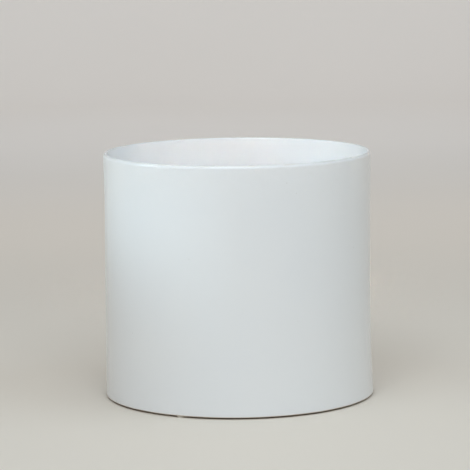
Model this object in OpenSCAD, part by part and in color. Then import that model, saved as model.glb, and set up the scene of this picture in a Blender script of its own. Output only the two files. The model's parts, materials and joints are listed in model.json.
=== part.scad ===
// Straight-sided cylinder vase: a one-piece fired clay vessel with a thin glaze coat,
// standing on small self-adhesive bumper pads stuck to its foot ring.
// Millimetres. The origin is on the standing surface under the vessel's centre,
// +Z is up and -Y is the front.

/* [Vessel] */
// Overall height, from the standing surface to the top of the lip
height = 200; // [120:1:300]
// Inner diameter over the glaze, the same all the way down
bore_d = 210; // [150:1:300]
// Wall thickness over both glazed faces at the lip
lip_wall = 3.3; // [2.4:0.1:6]
// Wall thickness over both glazed faces at the foot
heel_wall = 5; // [4:0.1:9]
// Floor thickness, from the recessed underside to the glazed inner floor
floor_t = 6; // [4:0.1:12]
// Radius of the fillet between the inner wall and the floor
inner_fillet = 8; // [4:0.5:20]

/* [Foot] */
// Width of the flat ring of bare clay that carries the vessel
foot_ring_w = 12; // [11:0.5:25]
// Depth of the recess inside the foot ring
recess_depth = 1.25; // [0.5:0.05:3]

/* [Glaze] */
// Thickness of the fired glaze
glaze_t = 0.4; // [0.2:0.05:0.8]
// Height of the bare, rounded clay edge between the foot ring and the glaze
bare_edge = 0.3; // [0.2:0.05:1]

/* [Bumper pads] */
// Number of pads, evenly spaced round the foot ring
pad_count = 3; // [3:1:6]
// Angle of the first pad from the front, positive towards +X
pad_angle = -26; // [-180:1:180]
// Diameter of a pad
pad_d = 8; // [5:0.5:9]
// Thickness of a pad without its adhesive
pad_t = 1.1; // [0.8:0.1:3]
// Rounding of a pad's lower edge
pad_round = 0.3; // [0.1:0.05:0.4]
// Gap between a pad and the outer edge of the foot ring
pad_inset = 0.5; // [0.5:0.1:1.5]
// Thickness of a pad's adhesive film
adhesive_t = 0.15; // [0.05:0.05:0.3]
// How far the adhesive film stops short of the pad's edge
adhesive_inset = 0.2; // [0.1:0.1:1]

/* [Hidden] */
$fn = 180;
// Overshoot that keeps cutting shapes clear of the faces they cut
cut = 1;
bore_r = bore_d / 2;
lip_round = lip_wall / 2;
lip_z = height - lip_round;
foot_z = pad_t + adhesive_t;
underside_z = foot_z + recess_depth;
floor_z = underside_z + floor_t;
clay_foot_r = bore_r + heel_wall - glaze_t;
recess_r = clay_foot_r - foot_ring_w;
pad_ring_r = clay_foot_r - pad_inset - pad_d / 2;

// What is cut away to round a lower outer corner that lies at the origin
module corner_cut(r) {
    difference() {
        translate([-r, -cut]) square([r + cut, r + cut]);
        translate([-r, r]) circle(r);
    }
}

// Half section of the space inside, drawn inset mm beyond the glazed faces
module cavity_section(inset) {
    r = bore_r + inset;
    z = floor_z - inset;
    fillet = inner_fillet + inset;
    top = height + cut;
    translate([0, z]) square([r - fillet, top - z]);
    translate([0, z + fillet]) square([r, top - z - fillet]);
    translate([r - fillet, z + fillet]) circle(fillet);
}

// Half section of the vessel, drawn inset mm inside its glazed faces
module vessel_section(inset) {
    heel_r = bore_r + heel_wall - inset;
    rim_r = bore_r + lip_wall - inset;
    difference() {
        polygon([[0, underside_z], [recess_r - recess_depth, underside_z], [recess_r, foot_z],
            [heel_r, foot_z], [rim_r, lip_z], [0, lip_z]]);
        cavity_section(inset);
    }
    translate([bore_r + lip_round, lip_z]) circle(lip_round - inset);
}

// Everything of fired clay: wall, floor and foot ring in one piece
module clay_body() {
    color("#cdbfa9") rotate_extrude() difference() {
        vessel_section(glaze_t);
        translate([clay_foot_r, foot_z]) corner_cut(bare_edge);
    }
}

// The glaze skin: up the outside, over the lip, down the inside and across the floor
module glaze_coat() {
    color("#f1f1ee") rotate_extrude() difference() {
        vessel_section(0);
        vessel_section(glaze_t);
        square([bore_r + heel_wall + cut, foot_z + bare_edge]);
    }
}

// Moves its children from the centre to pad i's place on the foot ring
module at_pad(i) {
    rotate([0, 0, pad_angle + (i - 1) * 360 / pad_count]) translate([0, -pad_ring_r, 0]) children();
}

// A bumper pad with its lower edge rounded, from the standing surface up
module foot_pad(i) {
    r = pad_d / 2;
    color("#c9c9c4") at_pad(i) rotate_extrude() {
        square([r - pad_round, pad_t]);
        translate([0, pad_round]) square([r, pad_t - pad_round]);
        translate([r - pad_round, pad_round]) circle(pad_round);
    }
}

// The film that sticks pad i to the foot ring
module pad_adhesive(i) {
    color("#dcd8c4") at_pad(i) translate([0, 0, pad_t])
        cylinder(r = pad_d / 2 - adhesive_inset, h = adhesive_t);
}

clay_body();
glaze_coat();
for (i = [1:pad_count]) {
    foot_pad(i);
    pad_adhesive(i);
}
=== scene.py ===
import json
import math

import bpy
from mathutils import Matrix, Vector, noise


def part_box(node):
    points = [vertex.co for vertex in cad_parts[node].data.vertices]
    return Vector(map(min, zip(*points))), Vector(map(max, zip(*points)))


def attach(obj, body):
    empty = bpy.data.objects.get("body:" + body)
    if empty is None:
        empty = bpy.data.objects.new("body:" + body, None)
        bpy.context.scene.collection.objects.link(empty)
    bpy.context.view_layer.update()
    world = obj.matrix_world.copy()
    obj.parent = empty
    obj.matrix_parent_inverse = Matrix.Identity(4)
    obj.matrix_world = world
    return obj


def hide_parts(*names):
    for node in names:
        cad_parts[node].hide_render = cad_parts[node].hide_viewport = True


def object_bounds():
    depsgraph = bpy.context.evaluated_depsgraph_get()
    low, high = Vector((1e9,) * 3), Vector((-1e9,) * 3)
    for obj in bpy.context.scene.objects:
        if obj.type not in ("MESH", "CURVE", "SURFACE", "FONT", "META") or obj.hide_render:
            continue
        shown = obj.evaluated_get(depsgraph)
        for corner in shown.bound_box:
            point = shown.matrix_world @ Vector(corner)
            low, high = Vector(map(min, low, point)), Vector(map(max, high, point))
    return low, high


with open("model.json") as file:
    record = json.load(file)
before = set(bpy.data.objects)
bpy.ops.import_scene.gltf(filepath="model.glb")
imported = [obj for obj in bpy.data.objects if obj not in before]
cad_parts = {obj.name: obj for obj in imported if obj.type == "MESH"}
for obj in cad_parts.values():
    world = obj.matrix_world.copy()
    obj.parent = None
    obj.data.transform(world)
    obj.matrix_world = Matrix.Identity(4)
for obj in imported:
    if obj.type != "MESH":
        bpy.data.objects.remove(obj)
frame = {"record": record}
cad_low, cad_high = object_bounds()

# ---------------------------------------------------------------- sizes, in metres

mounts = {mount["name"]: mount for mount in frame["record"]["mounts"]}
clay_low, clay_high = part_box("clay_body")
glaze_low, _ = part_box("glaze_coat")

HEIGHT = cad_high.z
BORE_R = mounts["mouth"]["dims"]["r_mm"] / 1000
FLOOR_Z = mounts["inner_floor"]["pos_m"][2]
FOOT_Z = clay_low.z
GLAZE_Z = glaze_low.z
GLAZE_T = HEIGHT - clay_high.z
FOOT_R = clay_high.x + GLAZE_T
LIP_WALL = 0.0033
# The lip's crest stands nearer to the bore, and its outside rounds over a longer height than its inside
LIP_ROUND = 0.0013
CREST_R = BORE_R + LIP_ROUND
LIP_Z = HEIGHT - LIP_ROUND
SHOULDER_Z = HEIGHT - 0.0032
INNER_FILLET = 0.008
FOOT_RING_WIDTH = 0.012
RECESS_R = FOOT_R - GLAZE_T - FOOT_RING_WIDTH
RECESS_DEPTH = 0.00125
# The foot ring's inner edge is worn by this much across and up
WORN_ACROSS = 0.0004
WORN_UP = 0.0003
# The turning marks in the recess start at this radius
TURNING_R = RECESS_R - 0.002
PAD_COUNT = sum(name.startswith("pad_rest_") for name in mounts)

# The glazed outside lies this much inside the drawn face, so that its ripple never crosses it
SKIN_MARGIN = 0.0002
# The clay stays this far behind the back of the glaze
BACK_GAP = 0.00003
# Steps round a turned shape
ROUND_STEPS = 480


# ---------------------------------------------------------------- camera

CAMERA_DISTANCE = 2.216
CAMERA_ELEVATION = 8.92
CAMERA_LENS_MM = 207.2
# The camera is aimed a little above and to the left of the vase's middle, and isn't quite level, in degrees
AIM_UP = 0.787
AIM_LEFT = 0.068
ROLL = 0.727


def make_camera():
    """The photographer's view: it looks at the vase's middle, then turns about its own axes."""
    middle = Vector((0, 0, HEIGHT / 2))
    elevation = math.radians(CAMERA_ELEVATION)
    back = Vector((0, -math.cos(elevation), math.sin(elevation)))
    data = bpy.data.cameras.new("camera")
    data.lens = CAMERA_LENS_MM
    data.sensor_width = 36
    data.clip_start = 0.05
    data.clip_end = 30
    camera = bpy.data.objects.new("camera", data)
    bpy.context.scene.collection.objects.link(camera)
    look = (-back).to_track_quat("-Z", "Y").to_matrix().to_4x4()
    aim_up = Matrix.Rotation(math.radians(AIM_UP), 4, "X")
    aim_left = Matrix.Rotation(math.radians(AIM_LEFT), 4, "Y")
    tilt = Matrix.Rotation(math.radians(-ROLL), 4, "Z")
    stand = Matrix.Translation(middle + back * CAMERA_DISTANCE)
    camera.matrix_world = stand @ look @ aim_up @ aim_left @ tilt
    bpy.context.scene.camera = camera


# ---------------------------------------------------------------- turned shapes


def smooth(low, high, value):
    """0 below low, 1 above high, and an S-shaped rise between."""
    t = max(0.0, min(1.0, (value - low) / (high - low)))
    return t * t * (3 - 2 * t)


def straight(start, end, steps, side):
    """Points from start to end, both included, as (radius, height, side)."""
    return [
        (start[0] + (end[0] - start[0]) * i / steps, start[1] + (end[1] - start[1]) * i / steps, side)
        for i in range(steps + 1)
    ]


def arc(centre, radius, first, last, steps, side, rise=None):
    """Points on an arc about centre in the half section, from angle first to angle last, in degrees.
    With a rise it is an ellipse's arc: radius across and rise upward."""
    rise = radius if rise is None else rise
    points = []
    for i in range(steps + 1):
        angle = math.radians(first + (last - first) * i / steps)
        points.append((centre[0] + radius * math.cos(angle), centre[1] + rise * math.sin(angle), side))
    return points


# Points closer together than this are one point
SAME_POINT = 1e-7


def join(*stretches):
    """One section from several stretches, without the points that repeat where they meet."""
    section = []
    for point in (p for stretch in stretches for p in stretch):
        if not section or math.dist(point[:2], section[-1][:2]) > SAME_POINT:
            section.append(point)
    return section


def turned(name, section, shape, steps=ROUND_STEPS):
    """The section turned about +Z. A closed piece's section starts on the axis at the upper face, runs down
    its outside and ends on the axis at the lower face, so that the mesh's normals point out of the piece.
    shape(radius, azimuth, height, side) gives each point's place; azimuth is from the front, towards +X."""
    points, rings = [], []
    for radius, height, side in section:
        around = 1 if radius < SAME_POINT else steps
        rings.append((len(points), around))
        points += [shape(radius, 2 * math.pi * i / steps, height, side) for i in range(around)]
    faces = []
    for (a, a_count), (b, b_count) in zip(rings, rings[1:]):
        for i in range(steps):
            j = (i + 1) % steps
            corners = [a + i % a_count, b + i % b_count, b + j % b_count, a + j % a_count]
            faces.append(list(dict.fromkeys(corners)))
    mesh = bpy.data.meshes.new(name)
    mesh.from_pydata(points, [], faces)
    mesh.validate()
    mesh.shade_smooth()
    return mesh


def place(radius, azimuth, height):
    """The point at this distance from the axis, this angle from the front and this height."""
    return Vector((radius * math.sin(azimuth), -radius * math.cos(azimuth), height))


def add_piece(name, mesh, material, slot, *nodes):
    """A visible piece that rides on the one body, shows its material and stands for the named nodes."""
    piece = bpy.data.objects.new(name, mesh)
    piece.data.materials.append(material)
    bpy.context.scene.collection.objects.link(piece)
    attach(piece, "root")
    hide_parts(*nodes)


# ---------------------------------------------------------------- how the fired vase wanders from true

# The wall bows to the left about a third of the way up, more on the right side than on the left
BOW_MEAN = 0.00095
BOW_DIFFERENCE = 0.00075
# share * (1 - share) ** 2 is 4 / 27 at its highest, a third of the way up
BOW_SCALE = 27 / 4
# The mouth is a little wide from side to side and set to the left, and its edge is a little out of level.
# These grow from the given shares of the height up to the lip
MOUTH_WIDE = 0.0006
MOUTH_LEFT = 0.0003
MOUTH_FROM = 0.78
LIP_DIP = 0.0005
LIP_DIP_AZIMUTH = math.radians(165)
LIP_DIP_FROM = 0.3
# Inside this share of the bore's radius the floor stays put
STILL_FLOOR = 0.6
# Slow ripple in the glazed faces, left by the mould and by the glaze's flow
RIPPLE = 0.00006
RIPPLE_PER_M = 17
# It fades out over these lengths: above the lower edge, below the shoulder and towards the floor's middle
EDGE_FADE = 0.002
SHOULDER_FADE = 0.003
MIDDLE_FADE = 0.02
# The glaze's lower edge is this ragged
RAGGED_EDGE = 0.0002
RAGGED_PER_M = 60
# A run of glaze down the front, near the foot, with a bead at its upper end
RUN_AZIMUTH = math.radians(0.4)
RUN_TOP = 0.034
RUN_FADE = 0.004
RUN_WIDTH = 0.0024
RUN_HEIGHT = 0.00007
BEAD_Z = RUN_TOP - 0.003
BEAD_R = 0.003
BEAD_HEIGHT = 1.3 * RUN_HEIGHT
# A shallow dimple left of the front
DIMPLE_AZIMUTH = math.radians(-10.3)
DIMPLE_Z = 0.061
DIMPLE_R = 0.0022
DIMPLE_DEPTH = 0.00012
# The run, its bead and the dimple are below this height
RELIEF_Z = 0.074


def outer_r(height):
    """Radius of the outer glazed face, without its ripple."""
    return FOOT_R - SKIN_MARGIN + (BORE_R + LIP_WALL - FOOT_R) * (height - FOOT_Z) / (LIP_Z - FOOT_Z)


def wander(radius, azimuth, height):
    """Moves a point of the wall, clay and glaze alike, as firing moved it. The floor's middle stays put."""
    share = height / HEIGHT
    wall = smooth(STILL_FLOOR * BORE_R, BORE_R, radius)
    bow = BOW_SCALE * share * (1 - share) ** 2 * (BOW_MEAN + BOW_DIFFERENCE * math.sin(azimuth))
    flare = smooth(MOUTH_FROM, 1, share) * (MOUTH_WIDE * math.sin(azimuth) - MOUTH_LEFT)
    towards_dip = 0.5 + 0.5 * math.cos(azimuth - LIP_DIP_AZIMUTH)
    dip = LIP_DIP * smooth(LIP_DIP_FROM, 1, share) * towards_dip**2
    point = place(radius, azimuth, height - wall * dip)
    point.x += wall * (flare - bow)
    return point


def ripple(azimuth, height, seed):
    """How far the slow ripple moves a glazed face here; each face has its own seed."""
    spot = place(FOOT_R, azimuth, height) * RIPPLE_PER_M
    return RIPPLE * noise.noise(spot + Vector((seed, 0, 0)))


def glaze_relief(azimuth, height):
    """How far the run and its bead raise the outer glazed face, less how far the dimple sinks it."""
    across = FOOT_R * math.remainder(azimuth - RUN_AZIMUTH, 2 * math.pi)
    ridge = math.exp(-((across / RUN_WIDTH) ** 2)) * (1 - smooth(RUN_TOP - RUN_FADE, RUN_TOP, height))
    bead = math.exp(-(across**2 + (height - BEAD_Z) ** 2) / BEAD_R**2)
    aside = FOOT_R * math.remainder(azimuth - DIMPLE_AZIMUTH, 2 * math.pi)
    dimple = math.exp(-(aside**2 + (height - DIMPLE_Z) ** 2) / DIMPLE_R**2)
    return max(RUN_HEIGHT * ridge, BEAD_HEIGHT * bead) - DIMPLE_DEPTH * dimple


def glaze_point(radius, azimuth, height, side):
    """A point of the glaze coat. Its face ripples; its back, whose sides have other names, doesn't."""
    if side == "outside":
        above_edge = smooth(GLAZE_Z, GLAZE_Z + EDGE_FADE, height)
        below_shoulder = 1 - smooth(SHOULDER_Z - SHOULDER_FADE, SHOULDER_Z, height)
        relief = glaze_relief(azimuth, height) + ripple(azimuth, height, 0)
        radius += above_edge * below_shoulder * relief
    if side == "inside":
        radius += ripple(azimuth, height, 5) * smooth(FLOOR_Z, FLOOR_Z + 2 * INNER_FILLET, height)
    if side == "floor":
        height += ripple(azimuth, radius, 9) * smooth(0, MIDDLE_FADE, radius)
    if side == "edge":
        height += RAGGED_EDGE * noise.noise(place(FOOT_R, azimuth, 0) * RAGGED_PER_M)
    return wander(radius, azimuth, height)


def vessel_section(inset, coarse):
    """Half section of the glazed faces, inset towards the clay, from the axis at the floor up the inside,
    over the lip and down to GLAZE_Z. Where the run and the dimple are, below RELIEF_Z, its steps are short.
    It has fewer steps when coarse is more than 1."""
    fillet = (BORE_R - INNER_FILLET, FLOOR_Z + INNER_FILLET)
    shoulder_r = outer_r(SHOULDER_Z)
    shoulder_width = shoulder_r - CREST_R - inset
    shoulder_rise = HEIGHT - SHOULDER_Z - inset
    relief = (outer_r(RELIEF_Z) - inset, RELIEF_Z)
    return join(
        straight((0, FLOOR_Z - inset), (fillet[0], FLOOR_Z - inset), 16 // coarse, "floor"),
        arc(fillet, INNER_FILLET + inset, -90, 0, 8 // coarse, "inside"),
        straight((BORE_R + inset, fillet[1]), (BORE_R + inset, LIP_Z), 24 // coarse, "inside"),
        arc((CREST_R, LIP_Z), LIP_ROUND - inset, 180, 90, 8 // coarse, "lip"),
        arc((CREST_R, SHOULDER_Z), shoulder_width, 90, 0, 12 // coarse, "lip", shoulder_rise),
        straight((shoulder_r - inset, SHOULDER_Z), relief, 40 // coarse, "outside"),
        straight(relief, (outer_r(GLAZE_Z) - inset, GLAZE_Z), 48 // coarse, "outside"),
    )


# ---------------------------------------------------------------- materials


# The sockets of a Mix node that mixes colours, which share their names with those for other data
MIX_FACTOR = 0
MIX_FIRST = 6
MIX_SECOND = 7
MIX_RESULT = 2


class Material:
    """A node material with a Principled shader, and short ways to add nodes to it."""

    def __init__(self, name):
        self.material = bpy.data.materials.new(name)
        self.material.use_nodes = True
        self.tree = self.material.node_tree
        self.tree.nodes.clear()
        output = self.tree.nodes.new("ShaderNodeOutputMaterial")
        self.shader = self.tree.nodes.new("ShaderNodeBsdfPrincipled")
        self.tree.links.new(self.shader.outputs["BSDF"], output.inputs["Surface"])
        self.place = self.tree.nodes.new("ShaderNodeTexCoord").outputs["Object"]

    def set(self, **values):
        """Sets the shader's plain values; an underscore in a name stands for a space."""
        for name, value in values.items():
            self.shader.inputs[name.replace("_", " ")].default_value = value

    def feed(self, source, socket):
        """Links the source to the socket, or sets it where the source is a plain value."""
        if isinstance(source, bpy.types.NodeSocket):
            self.tree.links.new(source, socket)
        else:
            socket.default_value = source

    def noise(self, scale, detail, roughness=0.5):
        node = self.tree.nodes.new("ShaderNodeTexNoise")
        node.inputs["Scale"].default_value = scale
        node.inputs["Detail"].default_value = detail
        node.inputs["Roughness"].default_value = roughness
        self.tree.links.new(self.place, node.inputs["Vector"])
        return node.outputs["Fac"]

    def cells(self, scale):
        """Distance to the nearest point of a scatter, and a random value for that point."""
        node = self.tree.nodes.new("ShaderNodeTexVoronoi")
        node.inputs["Scale"].default_value = scale
        self.tree.links.new(self.place, node.inputs["Vector"])
        split = self.tree.nodes.new("ShaderNodeSeparateColor")
        self.tree.links.new(node.outputs["Color"], split.inputs["Color"])
        return node.outputs["Distance"], split.outputs["Red"]

    def height(self):
        """Height above the surface that the vase stands on."""
        split = self.tree.nodes.new("ShaderNodeSeparateXYZ")
        self.tree.links.new(self.place, split.inputs["Vector"])
        return split.outputs["Z"]

    def radius(self):
        """Distance from the vase's axis."""
        flat = self.tree.nodes.new("ShaderNodeVectorMath")
        flat.operation = "MULTIPLY"
        flat.inputs[1].default_value = (1, 1, 0)
        length = self.tree.nodes.new("ShaderNodeVectorMath")
        length.operation = "LENGTH"
        self.tree.links.new(self.place, flat.inputs[0])
        self.tree.links.new(flat.outputs["Vector"], length.inputs[0])
        return length.outputs["Value"]

    def spread(self, value, low, high, to_low=0.0, to_high=1.0):
        """value from low..high to to_low..to_high, smoothly and held at the ends."""
        node = self.tree.nodes.new("ShaderNodeMapRange")
        node.interpolation_type = "SMOOTHSTEP"
        self.tree.links.new(value, node.inputs["Value"])
        limits = {"From Min": low, "From Max": high, "To Min": to_low, "To Max": to_high}
        for name, number in limits.items():
            node.inputs[name].default_value = number
        return node.outputs["Result"]

    def math(self, operation, first, second):
        node = self.tree.nodes.new("ShaderNodeMath")
        node.operation = operation
        self.feed(first, node.inputs[0])
        self.feed(second, node.inputs[1])
        return node.outputs["Value"]

    def mix(self, factor, first, second):
        node = self.tree.nodes.new("ShaderNodeMix")
        node.data_type = "RGBA"
        self.feed(factor, node.inputs[MIX_FACTOR])
        self.feed(first, node.inputs[MIX_FIRST])
        self.feed(second, node.inputs[MIX_SECOND])
        return node.outputs[MIX_RESULT]

    def bump(self, height, depth, under=None):
        """Relief of the given depth in metres, added on top of an earlier bump."""
        node = self.tree.nodes.new("ShaderNodeBump")
        node.inputs["Strength"].default_value = 1.0
        node.inputs["Distance"].default_value = depth
        self.tree.links.new(height, node.inputs["Height"])
        if under is not None:
            self.tree.links.new(under, node.inputs["Normal"])
        return node.outputs["Normal"]

    def finish(self, colour, roughness, normal):
        self.feed(colour, self.shader.inputs["Base Color"])
        self.feed(roughness, self.shader.inputs["Roughness"])
        self.feed(normal, self.shader.inputs["Normal"])
        return self.material


def rgb(red, green, blue):
    return (red, green, blue, 1.0)


def white_glaze():
    """Opaque white glaze: soft gloss, faint clouding, fine orange peel and rare pinholes. Its inside is
    painted whiter as painted light, for the light bounced round the inside. The lip is painted darker,
    partly glaze pulled thin and partly painted shade; the lower edge is painted darker and warmer, partly
    glaze pulled thin over the clay and partly painted shade where the vase meets the floor."""
    m = Material("white_glaze")
    m.set(IOR=1.52)
    cloud = m.spread(m.noise(14, 3), 0.35, 0.65)
    outside = m.mix(cloud, rgb(0.880, 0.888, 0.893), rgb(0.890, 0.895, 0.895))
    # The inside is painted whiter than the outside: painted light, standing in for light bounced round the
    # inside
    inside = m.mix(cloud, rgb(0.928, 0.931, 0.93), rgb(0.933, 0.934, 0.928))
    colour = m.mix(m.spread(m.radius(), BORE_R + 0.0004, BORE_R + 0.0012), inside, outside)
    distance, pick = m.cells(130)
    pinhole = m.math("MULTIPLY", m.spread(distance, 0.03, 0.07, 1, 0), m.spread(pick, 0.93, 0.94))
    colour = m.mix(m.math("MULTIPLY", pinhole, 0.3), colour, rgb(0.42, 0.37, 0.31))
    thin_glaze_and_shade = m.spread(m.noise(45, 2), 0.3, 0.7, 0.35, 0.6)
    # The lip is painted darker and greyer: partly glaze pulled thin, partly painted shade for the dim light
    # on the lip's top
    lip = m.spread(m.height(), HEIGHT - 0.0016, HEIGHT - 0.0004)
    colour = m.mix(m.math("MULTIPLY", lip, thin_glaze_and_shade), colour, rgb(0.62, 0.60, 0.56))
    # The glaze's lower edge is painted darker and warmer: partly glaze thin over the clay, partly painted
    # shade where the vase meets the floor
    lower_edge_thin_and_shaded = m.spread(m.height(), GLAZE_Z + 0.0001, GLAZE_Z + 0.0008, 1, 0)
    colour = m.mix(m.math("MULTIPLY", lower_edge_thin_and_shaded, thin_glaze_and_shade), colour, rgb(0.58, 0.44, 0.31))
    roughness = m.spread(m.noise(60, 3), 0.3, 0.7, 0.17, 0.23)
    peel = m.bump(m.noise(320, 1), 0.00003)
    pits = m.bump(m.spread(pinhole, 0, 1, 1, 0), 0.00005, peel)
    return m.finish(colour, roughness, pits)


def fired_clay():
    """Buff stoneware, bare: grainy, with iron specks, painted dark brown next to the glaze, partly toasted
    clay and partly painted shade in the gap under the glaze, and slightly browner in the recess than on the
    sanded foot ring."""
    m = Material("fired_clay")
    m.set(IOR=1.45)
    grain = m.noise(900, 4, 0.7)
    colour = m.mix(m.spread(m.noise(35, 4), 0.3, 0.7), rgb(0.56, 0.47, 0.37), rgb(0.66, 0.58, 0.48))
    colour = m.mix(m.spread(grain, 0.45, 0.75, 0, 0.35), colour, rgb(0.74, 0.68, 0.60))
    distance, pick = m.cells(420)
    speck = m.math("MULTIPLY", m.spread(distance, 0.1, 0.25, 1, 0), m.spread(pick, 0.85, 0.86))
    colour = m.mix(m.math("MULTIPLY", speck, 0.7), colour, rgb(0.20, 0.13, 0.09))
    # The clay's outer edge next to the glaze is painted dark brown: partly toasted clay, partly painted
    # shade in the gap under the glaze's edge
    toast_and_shade = m.spread(m.height(), FOOT_Z + 0.00005, GLAZE_Z, 0.1, 0.85)
    edge = m.spread(m.radius(), FOOT_R - 0.003, FOOT_R - 0.001)
    colour = m.mix(m.math("MULTIPLY", toast_and_shade, edge), colour, rgb(0.36, 0.21, 0.12))
    recess = m.spread(m.height(), FOOT_Z + WORN_UP, FOOT_Z + RECESS_DEPTH, 0, 0.35)
    inward = m.spread(m.radius(), TURNING_R, RECESS_R, 1, 0)
    colour = m.mix(m.math("MULTIPLY", recess, inward), colour, rgb(0.50, 0.40, 0.30))
    roughness = m.spread(grain, 0.3, 0.7, 0.72, 0.95)
    coarse = m.bump(m.noise(250, 3), 0.00008)
    return m.finish(colour, roughness, m.bump(grain, 0.00005, coarse))


def pad_rubber():
    """Soft clear rubber gone milky, with dust and scuffs."""
    m = Material("pad_rubber")
    m.set(IOR=1.49, Transmission_Weight=0.05)
    colour = m.mix(m.spread(m.noise(700, 3), 0.4, 0.7), rgb(0.90, 0.86, 0.78), rgb(0.84, 0.79, 0.70))
    roughness = m.spread(m.noise(1100, 3), 0.3, 0.7, 0.3, 0.55)
    return m.finish(colour, roughness, m.bump(m.noise(1600, 2), 0.00001))


def pad_glue():
    """Yellowed acrylic film with fine bubbles."""
    m = Material("pad_glue")
    m.set(IOR=1.47)
    distance, _ = m.cells(2400)
    bubble = m.spread(distance, 0.15, 0.3, 1, 0)
    colour = m.mix(m.spread(m.noise(500, 3), 0.35, 0.65), rgb(0.72, 0.67, 0.52), rgb(0.80, 0.77, 0.66))
    colour = m.mix(m.math("MULTIPLY", bubble, 0.3), colour, rgb(0.88, 0.86, 0.80))
    roughness = m.spread(m.noise(900, 2), 0.3, 0.7, 0.35, 0.6)
    return m.finish(colour, roughness, m.bump(bubble, 0.00001))


def pale_floor():
    """A plain, pale, slightly uneven surface."""
    m = Material("pale_floor")
    colour = m.mix(m.noise(3, 2), rgb(0.78, 0.703, 0.605), rgb(0.80, 0.723, 0.625))
    return m.finish(colour, 0.6, m.bump(m.noise(500, 2), 0.00002))


# ---------------------------------------------------------------- pieces


def make_glaze():
    """The glaze coat as a closed skin: its face, a rounded lower edge, and its back against the clay."""
    edge_round = GLAZE_T / 2
    edge_z = GLAZE_Z + edge_round

    def above_edge(points):
        return [point for point in points if point[2] != "outside" or point[1] > edge_z]

    back = reversed(above_edge(vessel_section(GLAZE_T, 4)))
    section = join(
        above_edge(vessel_section(0, 1)),
        arc((outer_r(GLAZE_Z) - edge_round, edge_z), edge_round, 0, -180, 6, "edge"),
        [(radius, height, side + "_back") for radius, height, side in back],
    )
    mesh = turned("white_glaze", section, glaze_point)
    add_piece("white_glaze", mesh, white_glaze(), "white_glaze", "glaze_coat")


# The turning marks in the recess are a shallow spiral that fades out near its middle. Its pitch drifts
TURNING_PITCH = 0.0034
TURNING_HEIGHT = 0.00009
TURNING_DRIFT = 0.4
TURNING_MIDDLE = (0.002, 0.008)
# The sanded foot ring stands up to twice this far above its lowest level
FOOT_UNEVEN = 0.00002
# How many times in a metre the spiral's drift and the foot ring's unevenness come and go
CLAY_NOISE_PER_M = 90


def clay_point(radius, azimuth, height, side):
    """A point of the clay, with the turning marks in its recess and its foot ring sanded."""
    if side == "recess":
        drift = TURNING_DRIFT * noise.noise(Vector((0, 0, radius * CLAY_NOISE_PER_M)))
        turns = radius / TURNING_PITCH + drift + azimuth / (2 * math.pi)
        height += TURNING_HEIGHT * math.sin(2 * math.pi * turns) * smooth(*TURNING_MIDDLE, radius)
    if side == "foot":
        height += FOOT_UNEVEN * (1 + noise.noise(place(radius, azimuth, 0) * CLAY_NOISE_PER_M))
    return wander(radius, azimuth, height)


def make_clay():
    """The fired clay under the glaze, with its sanded foot ring and the turned recess inside it."""
    inset = GLAZE_T + BACK_GAP
    edge = GLAZE_Z - FOOT_Z
    edge_r = outer_r(FOOT_Z) - inset - edge
    recess_z = FOOT_Z + RECESS_DEPTH
    section = join(
        vessel_section(inset, 4),
        arc((edge_r, GLAZE_Z), edge, 0, -90, 6, "foot"),
        straight((edge_r, FOOT_Z), (RECESS_R + WORN_ACROSS, FOOT_Z), 12, "foot"),
        straight((RECESS_R, FOOT_Z + WORN_UP), (RECESS_R - RECESS_DEPTH, recess_z), 4, "step"),
        straight((TURNING_R, recess_z), (0, recess_z), 128, "recess"),
    )
    mesh = turned("fired_clay", section, clay_point)
    add_piece("fired_clay", mesh, fired_clay(), "fired_clay", "clay_body")


# Steps round a pad or its glue
PAD_STEPS = 72
# Rounding of a pad's lower and upper edges, and of the bulge between them, which spans this many degrees
# up and down from its middle
PAD_LOWER_ROUND = 0.0004
PAD_UPPER_ROUND = 0.0002
PAD_BULGE_ROUND = 0.0005
PAD_BULGE_ANGLE = 20
# Both edges end this far inside the bulge, and both flat faces this far inside the edges
PAD_STEP_IN = 0.0001
# A pad's side is up to twice this far inside its outline
PAD_UNEVEN = 0.00004
# The glue film's edge is up to twice this far inside its outline
GLUE_RAGGED = 0.00006


def disc(node):
    """The axis of a pad or glue film, its radius, and the heights of its lower and upper faces."""
    low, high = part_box(node)
    axis = Vector(((low.x + high.x) / 2, (low.y + high.y) / 2, 0))
    return axis, (high.x - low.x) / 2, low.z, high.z


def edge_noise(azimuth, number, waves):
    """Noise round the edge of disc number, from -1 to 1; the more waves, the finer."""
    return noise.noise(Vector((math.cos(azimuth), math.sin(azimuth), number)) * waves)


def make_pad(number, rubber):
    """A bumper pad pressed flat by the vase's weight: a flat face, a soft lower edge and a slight bulge."""
    axis, radius, _, top = disc(f"foot_pad_{number}")
    upper_r = radius - PAD_STEP_IN - PAD_UPPER_ROUND
    lower_r = radius - PAD_STEP_IN - PAD_LOWER_ROUND
    bulge = (radius - PAD_BULGE_ROUND, top / 2)
    section = join(
        straight((0, top), (upper_r - PAD_STEP_IN, top), 4, "face"),
        arc((upper_r, top - PAD_UPPER_ROUND), PAD_UPPER_ROUND, 90, 0, 4, "side"),
        arc(bulge, PAD_BULGE_ROUND, PAD_BULGE_ANGLE, -PAD_BULGE_ANGLE, 4, "side"),
        arc((lower_r, PAD_LOWER_ROUND), PAD_LOWER_ROUND, 0, -90, 6, "side"),
        straight((lower_r - PAD_STEP_IN, 0), (0, 0), 6, "face"),
    )

    def pad_point(r, azimuth, height, side):
        if side == "side":
            r -= PAD_UNEVEN * (1 + edge_noise(azimuth, number, 2.5))
        return axis + place(r, azimuth, height)

    mesh = turned(f"bumper_pad_{number}", section, pad_point, PAD_STEPS)
    add_piece(f"bumper_pad_{number}", mesh, rubber, "pad_rubber", f"foot_pad_{number}")


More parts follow.
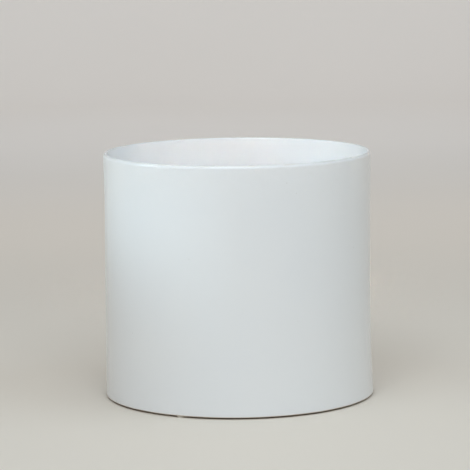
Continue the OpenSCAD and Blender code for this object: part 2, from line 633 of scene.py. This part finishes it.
def make_glue(number, glue):
    """The film between a pad and the foot ring, with a slightly ragged cut edge."""
    axis, radius, bottom, top = disc(f"pad_adhesive_{number}")
    section = join(
        straight((0, top), (radius, top), 3, "face"),
        straight((radius, top), (radius, bottom), 2, "rim"),
        straight((radius, bottom), (0, bottom), 3, "face"),
    )

    def glue_point(r, azimuth, height, side):
        ragged = GLUE_RAGGED * (1 + edge_noise(azimuth, number, 6))
        return axis + place(r * (1 - ragged / radius), azimuth, height)

    mesh = turned(f"pad_glue_{number}", section, glue_point, PAD_STEPS)
    add_piece(f"pad_glue_{number}", mesh, glue, "pad_glue", f"pad_adhesive_{number}")


# ---------------------------------------------------------------- stage and light

COVE_FLOOR_R = 2.5
COVE_CURVE = 0.5
COVE_R = COVE_FLOOR_R + COVE_CURVE
COVE_TOP = 1.0
COVE_STEPS = 128


def make_stage():
    """A round pale floor that curves up into a low wall on all sides, further out than any view's camera."""
    section = join(
        straight((0, 0), (COVE_FLOOR_R, 0), 24, ""),
        arc((COVE_FLOOR_R, COVE_CURVE), COVE_CURVE, -90, 0, 16, ""),
        straight((COVE_R, COVE_CURVE), (COVE_R, COVE_TOP), 4, ""),
    )

    def stage_point(radius, azimuth, height, side):
        return place(radius, azimuth, height)

    mesh = turned("floor", section, stage_point, COVE_STEPS)
    floor = bpy.data.objects.new("floor", mesh)
    floor.data.materials.append(pale_floor())
    bpy.context.scene.collection.objects.link(floor)


# name: (place, aimed at, width, height, watts, colour, spread in degrees)
LIGHTS = {
    "front_high": ((0, -1.5, 1.5), (0, 0, 0.1), 1.4, 0.7, 14.1, (0.81, 0.91, 1.0), 180),
    "overhead": ((0.1, 0, 1.8), (0, 0, 0.1), 1.4, 0.8, 3.1, (1.0, 0.90, 0.77), 180),
    "left_overhead": ((-0.6, -0.9, 1.7), (0, 0, 0.1), 1.0, 1.0, 5.9, (0.70, 0.86, 1.0), 180),
    "right_overhead": ((1.0, -0.4, 1.5), (0, 0, 0.1), 1.2, 1.0, 4.9, (0.65, 0.84, 1.0), 180),
    "backdrop": ((0, 1.9, 1.5), (0, 2.9, 0.1), 2.0, 0.6, 13.3, (0.70, 0.80, 1.0), 180),
    "far_floor": ((0, 1.0, 1.0), (0, 1.0, 0), 2.4, 0.5, 0.36, (1.0, 0.86, 0.73), 60),
    "left_edge": ((-1.4, 0.0, 0.45), (0, 0, 0.15), 0.5, 0.06, 0.044, (0.66, 0.87, 1.0), 8),
    "left_strip": ((-1.4, -0.3, 0.6), (0, 0, 0.24), 0.6, 0.2, 0.059, (0.84, 0.99, 1.0), 16),
    "mouth": ((0, -1.5, 0.9), (0, 0.1, 0.19), 0.3, 0.1, 0.022, (1.0, 0.78, 0.56), 5),
}
WORLD_COLOUR = (0.93, 0.97, 1.0)
WORLD_STRENGTH = 0.35


def make_light(name, spot, target, width, height, watts, colour, spread):
    """A rectangular light at spot that faces target and isn't itself seen."""
    data = bpy.data.lights.new(name, "AREA")
    data.shape = "RECTANGLE"
    data.size = width
    data.size_y = height
    data.energy = watts
    data.color = colour
    data.spread = math.radians(spread)
    light = bpy.data.objects.new(name, data)
    light.location = spot
    light.rotation_mode = "QUATERNION"
    light.rotation_quaternion = (Vector(target) - Vector(spot)).to_track_quat("-Z", "Y")
    light.visible_camera = False
    bpy.context.scene.collection.objects.link(light)


def make_lights():
    """The lights, and an even glow from all round."""
    for name, settings in LIGHTS.items():
        make_light(name, *settings)
    world = bpy.data.worlds.new("world")
    world.use_nodes = True
    background = world.node_tree.nodes["Background"]
    background.inputs["Color"].default_value = (*WORLD_COLOUR, 1)
    background.inputs["Strength"].default_value = WORLD_STRENGTH
    bpy.context.scene.world = world
    bpy.context.scene.view_settings.view_transform = "Standard"


make_camera()
make_glaze()
make_clay()
rubber = pad_rubber()
glue = pad_glue()
for pad_number in range(1, PAD_COUNT + 1):
    make_pad(pad_number, rubber)
    make_glue(pad_number, glue)
make_stage()
make_lights()
